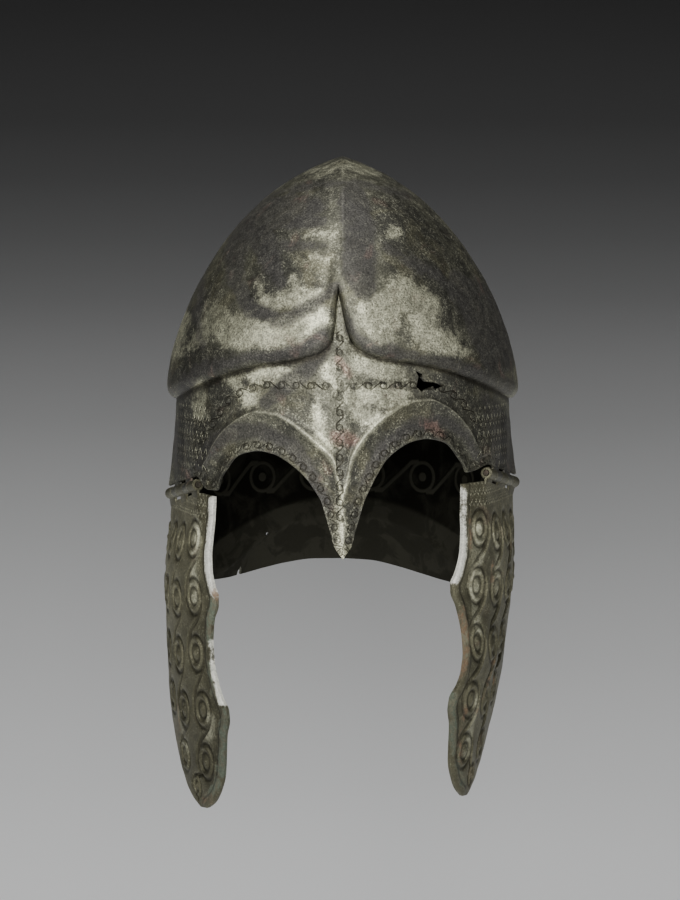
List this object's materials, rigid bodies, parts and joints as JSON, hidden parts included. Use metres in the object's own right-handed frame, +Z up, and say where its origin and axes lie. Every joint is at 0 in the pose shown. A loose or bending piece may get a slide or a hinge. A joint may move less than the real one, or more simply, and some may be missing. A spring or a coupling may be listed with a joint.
{
  "type": "chalcidian helmet",
  "caption": "Bronze helmet with a pointed, stepped crown, arched eye openings, narrow nasal, flared neck guard and hinged, scalloped cheekpieces with embossed circles.",
  "frame": {"origin": "head seat, where the top of the wearer's head touches the inside of the crown, on the nose line", "axes": "+Z up along the wearer's height, face looks along -Y, wearer's left side is +X"},
  "size_m": [0.1928, 0.2316, 0.3432],
  "materials": {
    "bowl_bronze": "dark tinned bronze, worn and patinated",
    "cheekpiece_bronze": "dark tinned bronze with bright worn rims",
    "pin_bronze": "dull brown bronze"
  },
  "bodies": {
    "helmet": {"bowl": "bowl_bronze", "hinge_pin_left": "pin_bronze", "hinge_pin_right": "pin_bronze"},
    "cheek_left": {"cheekpiece_left": "cheekpiece_bronze"},
    "cheek_right": {"cheekpiece_right": "cheekpiece_bronze"}
  },
  "joints": [
    {"name": "cheek_hinge_left", "type": "hinge", "parent": "helmet", "child": "cheek_left", "pos_m": [0.08388, -0.0304, -0.1642], "axis": [0.2767, 0.9492, -0.1499], "range_deg": [-120, 18]},
    {"name": "cheek_hinge_right", "type": "hinge", "parent": "helmet", "child": "cheek_right", "pos_m": [-0.08431, -0.03055, -0.1704], "axis": [-0.2705, 0.9511, -0.1494], "range_deg": [-22, 120]}
  ]
}
